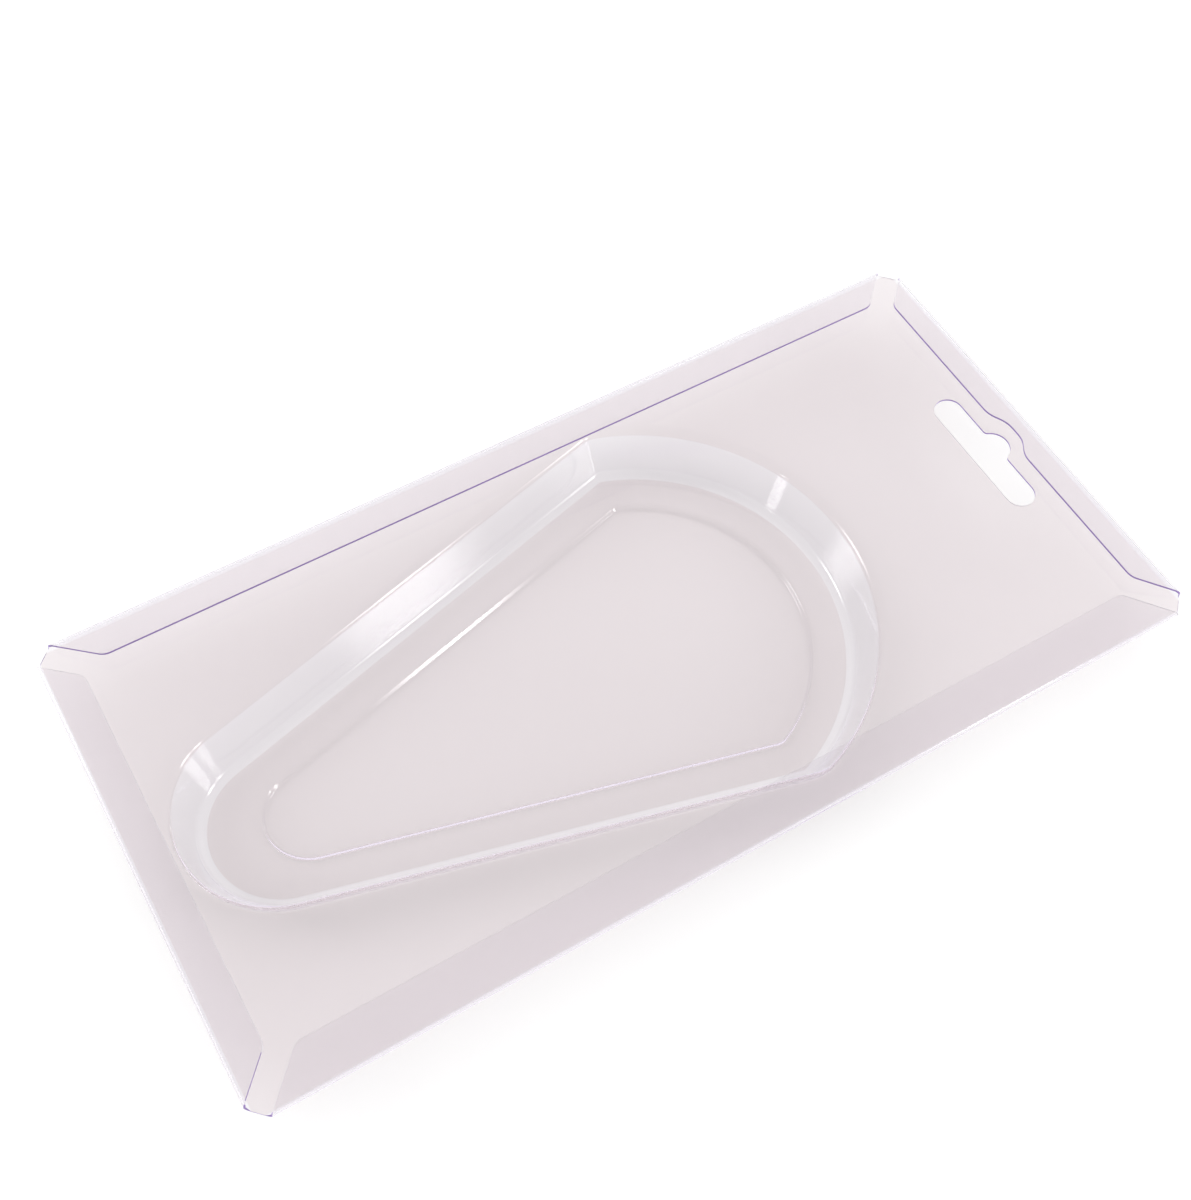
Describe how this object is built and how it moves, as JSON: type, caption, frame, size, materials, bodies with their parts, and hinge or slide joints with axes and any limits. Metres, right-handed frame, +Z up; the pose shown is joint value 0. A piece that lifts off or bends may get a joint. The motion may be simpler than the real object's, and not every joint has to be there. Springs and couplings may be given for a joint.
{
  "type": "folded edge blister pack",
  "caption": "Clear formed sheet with a drop-shaped cavity, a shallow recess in its floor, edges folded back to hold a backing card, and a hang slot at one end.",
  "frame": {"origin": "Under the middle of the sheet's length and width, at the underside of the recess, the lowest face, on which the pack lies", "axes": "+X along the long side towards the hang slot, +Y across the sheet, +Z up out of the cavity's open side"},
  "size_m": [0.197, 0.1, 0.0144],
  "materials": {
    "clear_sheet": "clear glossy sheet"
  },
  "bodies": {
    "root": {"blister_sheet": "clear_sheet"}
  },
  "joints": []
}
